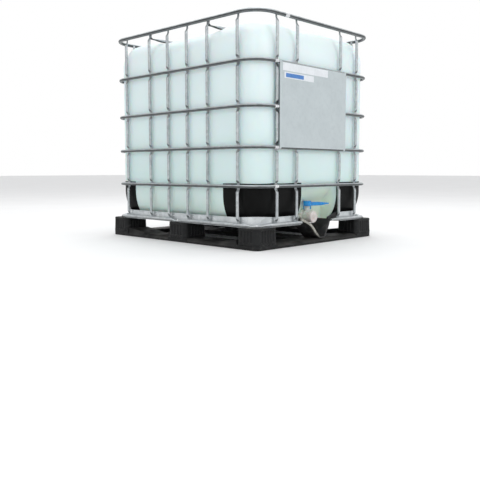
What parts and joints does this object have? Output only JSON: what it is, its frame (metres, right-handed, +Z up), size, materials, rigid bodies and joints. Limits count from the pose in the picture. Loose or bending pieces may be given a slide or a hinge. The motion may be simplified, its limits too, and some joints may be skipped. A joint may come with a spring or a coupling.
{
  "type": "intermediate bulk container",
  "caption": "Plastic bottle in a galvanised tube cage with a steel tray on a black plastic pallet, a label plate and a butterfly valve at the bottom front.",
  "frame": {"origin": "centre of the pallet's underside, on the floor", "axes": "+Z up; +Y along the 1200 mm sides, away from the valve; +X along the valve face, to the right seen from the valve"},
  "size_m": [1, 1.2, 1.16],
  "materials": {
    "pallet_plastic": "scuffed moulded black plastic",
    "galvanised_sheet": "hot-dip galvanised pressed sheet",
    "galvanised_tube": "hot-dip galvanised tube",
    "zinc_fastener": "bright zinc plate",
    "natural_hdpe": "translucent natural polyethylene",
    "guard_sheet": "black plastic sheet",
    "plate_steel": "dull galvanised plate",
    "label_white": "plain white film",
    "label_blue": "plain blue print on film",
    "cap_plastic": "moulded polyethylene",
    "valve_plastic": "moulded off-white plastic",
    "outlet_cap_plastic": "moulded off-white plastic",
    "handle_blue": "moulded blue plastic",
    "seal_rubber": "moulded seal"
  },
  "bodies": {
    "container": {"runner_frame": "pallet_plastic", "foot_front_left": "pallet_plastic", "foot_front_right": "pallet_plastic", "foot_rear_left": "pallet_plastic", "foot_rear_right": "pallet_plastic", "foot_mid_left": "pallet_plastic", "foot_mid_right": "pallet_plastic", "foot_mid_rear": "pallet_plastic", "foot_centre": "pallet_plastic", "valve_trough": "pallet_plastic", "base_tray": "galvanised_sheet", "tray_rivets": "zinc_fastener", "bottle": "natural_hdpe", "guard_front_left": "guard_sheet", "guard_front_right": "guard_sheet", "guard_rear_left": "guard_sheet", "guard_rear_right": "guard_sheet", "base_hoop": "galvanised_tube", "hoop_1": "galvanised_tube", "hoop_2": "galvanised_tube", "hoop_3": "galvanised_tube", "hoop_4": "galvanised_tube", "top_rim": "galvanised_tube", "hoop_joints": "zinc_fastener", "bars_left": "galvanised_tube", "bars_right": "galvanised_tube", "bars_front": "galvanised_tube", "bars_rear": "galvanised_tube", "crossbar_front": "galvanised_tube", "crossbar_rear": "galvanised_tube", "crossbar_screws": "zinc_fastener", "cage_screws": "zinc_fastener", "label_plate": "plate_steel", "label_upper": "label_white", "label_lower": "label_white", "label_bar": "label_blue", "valve_nut": "valve_plastic", "valve_gasket": "seal_rubber", "valve_body": "valve_plastic", "valve_seat": "seal_rubber", "stem_seal": "seal_rubber"},
    "valve_lever": {"valve_stem": "valve_plastic", "valve_disc": "valve_plastic", "valve_handle": "handle_blue", "handle_screw": "zinc_fastener"},
    "fill_seal": {"fill_cap_seal": "seal_rubber"},
    "fill_lid": {"fill_cap": "cap_plastic"},
    "vent_seal": {"vent_plug_seal": "seal_rubber"},
    "vent": {"vent_plug": "cap_plastic"},
    "outlet_seal": {"outlet_cap_seal": "seal_rubber"},
    "dust_cap": {"outlet_cap": "outlet_cap_plastic"}
  },
  "joints": [
    {"name": "valve_turn", "type": "hinge", "parent": "container", "child": "valve_lever", "pos_m": [0, -0.509, 0.139], "axis": [0, 0, 1], "range_deg": [-90, 0]},
    {"name": "fill_cap_lift", "type": "slide", "parent": "container", "child": "fill_seal", "axis": [0, 0, 1], "range_m": [0, 0.25]},
    {"name": "fill_cap_turn", "type": "hinge", "parent": "fill_seal", "child": "fill_lid", "pos_m": [0, 0, 1.13], "axis": [0, 0, 1], "range_deg": [0, 540]},
    {"name": "vent_plug_lift", "type": "slide", "parent": "fill_lid", "child": "vent_seal", "axis": [0, 0, 1], "range_m": [0, 0.12]},
    {"name": "vent_plug_turn", "type": "hinge", "parent": "vent_seal", "child": "vent", "pos_m": [0, 0, 1.14], "axis": [0, 0, 1], "range_deg": [0, 1080]},
    {"name": "outlet_cap_pull", "type": "slide", "parent": "container", "child": "outlet_seal", "axis": [0, -1, 0], "range_m": [0, 0.15]},
    {"name": "outlet_cap_turn", "type": "hinge", "parent": "outlet_seal", "child": "dust_cap", "pos_m": [0, -0.54, 0.139], "axis": [0, -1, 0], "range_deg": [0, 720]}
  ]
}
